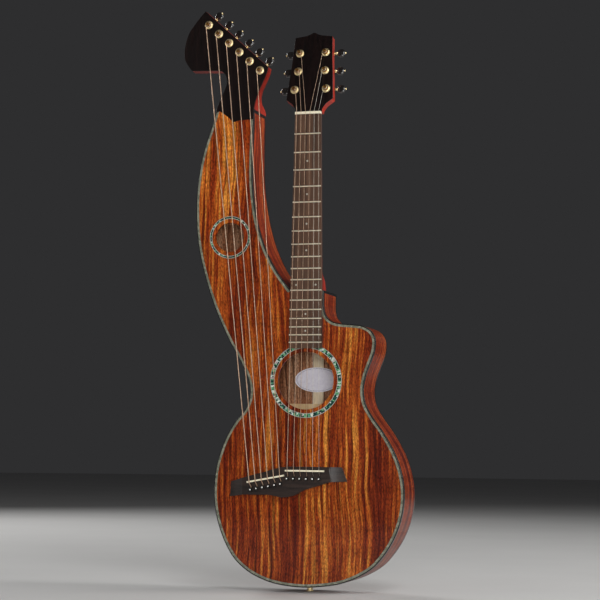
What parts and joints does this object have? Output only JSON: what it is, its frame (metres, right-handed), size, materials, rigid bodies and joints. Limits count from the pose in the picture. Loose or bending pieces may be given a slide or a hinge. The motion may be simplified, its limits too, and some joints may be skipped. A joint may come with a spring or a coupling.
{
  "type": "harp guitar",
  "caption": "Harp guitar with a fretted neck, a cutaway body and a hollow harp arm that ends in a second head carrying open bass strings; the tuners turn.",
  "frame": {"origin": "where the end pin leaves the tail, on the neck's centreline and half way through the body's depth", "axes": "+Z along the strings towards the heads, -Y out of the soundboard, +X to the treble side"},
  "size_m": [0.4181, 0.1044, 1.0508],
  "materials": {
    "koa_top": "high gloss over streaked koa",
    "koa_sides": "high gloss, red-brown",
    "pale_wood": "bare",
    "brace_wood": "bare",
    "mahogany": "gloss red mahogany",
    "rosewood": "oiled satin",
    "rosewood_bridge": "satin",
    "head_veneer": "polished black",
    "black_trim": "gloss",
    "shell": "polished mother of pearl mosaic",
    "bone": "polished bone",
    "fret_wire": "polished",
    "gold": "polished gold plating",
    "steel": "plain",
    "black_plastic": "gloss",
    "paper_label": "matt",
    "bronze": "wound bronze"
  },
  "bodies": {
    "root": {"soundboard": "koa_top", "back_plates": "koa_sides", "back_centre_strip": "pale_wood", "rib_bass": "koa_sides", "rib_treble": "koa_sides", "rib_arm_inner": "koa_sides", "shoulder_strip": "black_trim", "top_binding": "black_trim", "top_purfling": "shell", "back_binding": "black_trim", "linings": "brace_wood", "top_braces": "brace_wood", "bridge_plate": "pale_wood", "back_braces": "brace_wood", "neck_block": "brace_wood", "tail_block": "brace_wood", "rosettes": "shell", "label": "paper_label", "neck": "mahogany", "neck_head_veneer": "head_veneer", "fretboard": "rosewood", "frets": "fret_wire", "fret_dots": "bone", "nut": "bone", "truss_rod": "steel", "harp_head": "mahogany", "harp_head_veneer": "head_veneer", "arm_joint_strip": "black_trim", "bridge": "rosewood_bridge", "saddles": "bone", "bridge_pins": "black_plastic", "tuner_housings": "gold", "tuner_collars": "gold", "end_pin": "gold", "strings": "bronze"},
    "knob_1": {"knob_1": "black_plastic"},
    "knob_2": {"knob_2": "black_plastic"},
    "knob_3": {"knob_3": "black_plastic"},
    "knob_4": {"knob_4": "black_plastic"},
    "knob_5": {"knob_5": "black_plastic"},
    "knob_6": {"knob_6": "black_plastic"},
    "knob_7": {"knob_7": "black_plastic"},
    "knob_8": {"knob_8": "black_plastic"},
    "knob_9": {"knob_9": "black_plastic"},
    "knob_10": {"knob_10": "black_plastic"},
    "knob_11": {"knob_11": "black_plastic"},
    "knob_12": {"knob_12": "black_plastic"},
    "post_1": {"post_1": "gold"},
    "post_2": {"post_2": "gold"},
    "post_3": {"post_3": "gold"},
    "post_4": {"post_4": "gold"},
    "post_5": {"post_5": "gold"},
    "post_6": {"post_6": "gold"},
    "post_7": {"post_7": "gold"},
    "post_8": {"post_8": "gold"},
    "post_9": {"post_9": "gold"},
    "post_10": {"post_10": "gold"},
    "post_11": {"post_11": "gold"},
    "post_12": {"post_12": "gold"},
    "truss_nut": {"truss_rod_nut": "steel"}
  },
  "joints": [
    {"name": "knob_1_turn", "type": "hinge", "parent": "root", "child": "knob_1", "pos_m": [-0.0292, -0.01749, 0.88763], "axis": [-1, 0, 0], "continuous": true},
    {"name": "post_1_turn", "type": "hinge", "parent": "root", "child": "post_1", "pos_m": [-0.0292, -0.03401, 0.8845], "axis": [0, 0.9781, -0.2079], "continuous": true},
    {"name": "knob_2_turn", "type": "hinge", "parent": "root", "child": "knob_2", "pos_m": [-0.025, -0.01007, 0.92255], "axis": [-1, 0, 0], "continuous": true},
    {"name": "post_2_turn", "type": "hinge", "parent": "root", "child": "post_2", "pos_m": [-0.025, -0.02658, 0.91942], "axis": [0, 0.9781, -0.2079], "continuous": true},
    {"name": "knob_3_turn", "type": "hinge", "parent": "root", "child": "knob_3", "pos_m": [-0.024, -0.00273, 0.95708], "axis": [-1, 0, 0], "continuous": true},
    {"name": "post_3_turn", "type": "hinge", "parent": "root", "child": "post_3", "pos_m": [-0.024, -0.01924, 0.95395], "axis": [0, 0.9781, -0.2079], "continuous": true},
    {"name": "knob_4_turn", "type": "hinge", "parent": "root", "child": "knob_4", "pos_m": [0.024, -0.00273, 0.95708], "axis": [1, 0, 0], "continuous": true},
    {"name": "post_4_turn", "type": "hinge", "parent": "root", "child": "post_4", "pos_m": [0.024, -0.01924, 0.95395], "axis": [0, 0.9781, -0.2079], "continuous": true},
    {"name": "knob_5_turn", "type": "hinge", "parent": "root", "child": "knob_5", "pos_m": [0.025, -0.01007, 0.92255], "axis": [1, 0, 0], "continuous": true},
    {"name": "post_5_turn", "type": "hinge", "parent": "root", "child": "post_5", "pos_m": [0.025, -0.02658, 0.91942], "axis": [0, 0.9781, -0.2079], "continuous": true},
    {"name": "knob_6_turn", "type": "hinge", "parent": "root", "child": "knob_6", "pos_m": [0.0292, -0.01749, 0.88763], "axis": [1, 0, 0], "continuous": true},
    {"name": "post_6_turn", "type": "hinge", "parent": "root", "child": "post_6", "pos_m": [0.0292, -0.03401, 0.8845], "axis": [0, 0.9781, -0.2079], "continuous": true},
    {"name": "knob_7_turn", "type": "hinge", "parent": "root", "child": "knob_7", "pos_m": [-0.19683, -0.018, 1.01635], "axis": [0.6691, 0, 0.7431], "continuous": true},
    {"name": "post_7_turn", "type": "hinge", "parent": "root", "child": "post_7", "pos_m": [-0.192, -0.04, 1.012], "axis": [0, 1, 0], "continuous": true},
    {"name": "knob_8_turn", "type": "hinge", "parent": "root", "child": "knob_8", "pos_m": [-0.17706, -0.018, 0.99855], "axis": [0.6691, 0, 0.7431], "continuous": true},
    {"name": "post_8_turn", "type": "hinge", "parent": "root", "child": "post_8", "pos_m": [-0.17223, -0.04, 0.9942], "axis": [0, 1, 0], "continuous": true},
    {"name": "knob_9_turn", "type": "hinge", "parent": "root", "child": "knob_9", "pos_m": [-0.15729, -0.018, 0.98075], "axis": [0.6691, 0, 0.7431], "continuous": true},
    {"name": "post_9_turn", "type": "hinge", "parent": "root", "child": "post_9", "pos_m": [-0.15246, -0.04, 0.9764], "axis": [0, 1, 0], "continuous": true},
    {"name": "knob_10_turn", "type": "hinge", "parent": "root", "child": "knob_10", "pos_m": [-0.13753, -0.018, 0.96295], "axis": [0.6691, 0, 0.7431], "continuous": true},
    {"name": "post_10_turn", "type": "hinge", "parent": "root", "child": "post_10", "pos_m": [-0.1327, -0.04, 0.9586], "axis": [0, 1, 0], "continuous": true},
    {"name": "knob_11_turn", "type": "hinge", "parent": "root", "child": "knob_11", "pos_m": [-0.11776, -0.018, 0.94515], "axis": [0.6691, 0, 0.7431], "continuous": true},
    {"name": "post_11_turn", "type": "hinge", "parent": "root", "child": "post_11", "pos_m": [-0.11293, -0.04, 0.94081], "axis": [0, 1, 0], "continuous": true},
    {"name": "knob_12_turn", "type": "hinge", "parent": "root", "child": "knob_12", "pos_m": [-0.09799, -0.018, 0.92736], "axis": [0.6691, 0, 0.7431], "continuous": true},
    {"name": "post_12_turn", "type": "hinge", "parent": "root", "child": "post_12", "pos_m": [-0.09316, -0.04, 0.92301], "axis": [0, 1, 0], "continuous": true},
    {"name": "truss_rod_nut_turn", "type": "hinge", "parent": "root", "child": "truss_nut", "pos_m": [0, -0.037, 0.466], "axis": [0, 0, 1], "range_deg": [-180, 180]}
  ],
  "couplings": [
    {"joint": "post_1_turn", "follows": "knob_1_turn", "ratio": 0.066667},
    {"joint": "post_2_turn", "follows": "knob_2_turn", "ratio": 0.066667},
    {"joint": "post_3_turn", "follows": "knob_3_turn", "ratio": 0.066667},
    {"joint": "post_4_turn", "follows": "knob_4_turn", "ratio": 0.066667},
    {"joint": "post_5_turn", "follows": "knob_5_turn", "ratio": 0.066667},
    {"joint": "post_6_turn", "follows": "knob_6_turn", "ratio": 0.066667},
    {"joint": "post_7_turn", "follows": "knob_7_turn", "ratio": 0.066667},
    {"joint": "post_8_turn", "follows": "knob_8_turn", "ratio": 0.066667},
    {"joint": "post_9_turn", "follows": "knob_9_turn", "ratio": 0.066667},
    {"joint": "post_10_turn", "follows": "knob_10_turn", "ratio": 0.066667},
    {"joint": "post_11_turn", "follows": "knob_11_turn", "ratio": 0.066667},
    {"joint": "post_12_turn", "follows": "knob_12_turn", "ratio": 0.066667}
  ]
}
